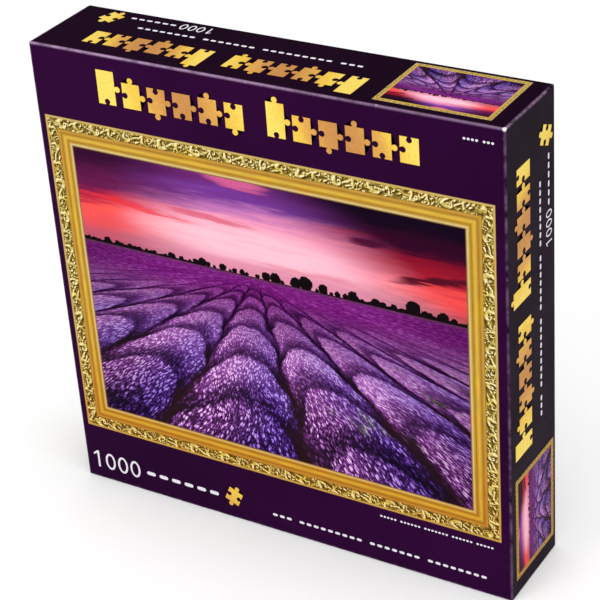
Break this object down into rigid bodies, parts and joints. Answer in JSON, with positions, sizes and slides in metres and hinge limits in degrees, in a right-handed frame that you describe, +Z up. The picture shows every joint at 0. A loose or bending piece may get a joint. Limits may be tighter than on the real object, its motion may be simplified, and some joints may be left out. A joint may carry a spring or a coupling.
{
  "type": "boxed jigsaw puzzle",
  "caption": "Square rigid puzzle box with a lift-off lid over a tray that holds a sealed bag of die-cut pieces and a folded picture leaflet.",
  "frame": {"origin": "middle of the bottom side that the box stands on, halfway between its picture face and its back", "axes": "+Z up along the picture's height, +X across the picture to the viewer's right, +Y from the picture face to the back"},
  "size_m": [0.254, 0.051, 0.254],
  "materials": {
    "greyboard": "raw recycled greyboard, matt and slightly fibrous",
    "lid_print": "printed paper with a satin laminate, deep purple, worn pale along the edges",
    "tray_print": "printed paper with a satin laminate, deep purple",
    "kraft_tape": "gummed kraft paper tape, matt",
    "clear_film": "clear glossy film",
    "leaflet_paper": "thin semi-gloss printed paper",
    "sky_print": "die-cut board, satin print on one side, grey on the other",
    "treeline_print": "die-cut board, satin print on one side, grey on the other",
    "field_print": "die-cut board, satin print on one side, grey on the other"
  },
  "bodies": {
    "tray": {"tray_board": "greyboard", "tray_wrap": "tray_print", "tray_corner_stays": "kraft_tape"},
    "lid": {"lid_board": "greyboard", "lid_wrap": "lid_print", "lid_corner_stays": "kraft_tape"},
    "bag": {"piece_bag": "clear_film", "corner_pieces": "field_print", "top_edge_pieces": "sky_print", "bottom_edge_pieces": "field_print", "left_edge_pieces": "field_print", "right_edge_pieces": "field_print", "sky_pieces": "sky_print", "treeline_pieces": "treeline_print", "far_field_pieces": "field_print", "middle_field_pieces": "field_print", "near_field_pieces": "field_print"},
    "leaflet": {"picture_leaflet": "leaflet_paper"}
  },
  "joints": [
    {"name": "lid_lift", "type": "slide", "parent": "tray", "child": "lid", "axis": [0, -1, 0], "range_m": [0, 0.12]},
    {"name": "bag_play", "type": "slide", "parent": "tray", "child": "bag", "axis": [0, -1, 0], "range_m": [0, 0.003]},
    {"name": "leaflet_play", "type": "slide", "parent": "bag", "child": "leaflet", "axis": [0, -1, 0], "range_m": [0, 0.0025]}
  ]
}
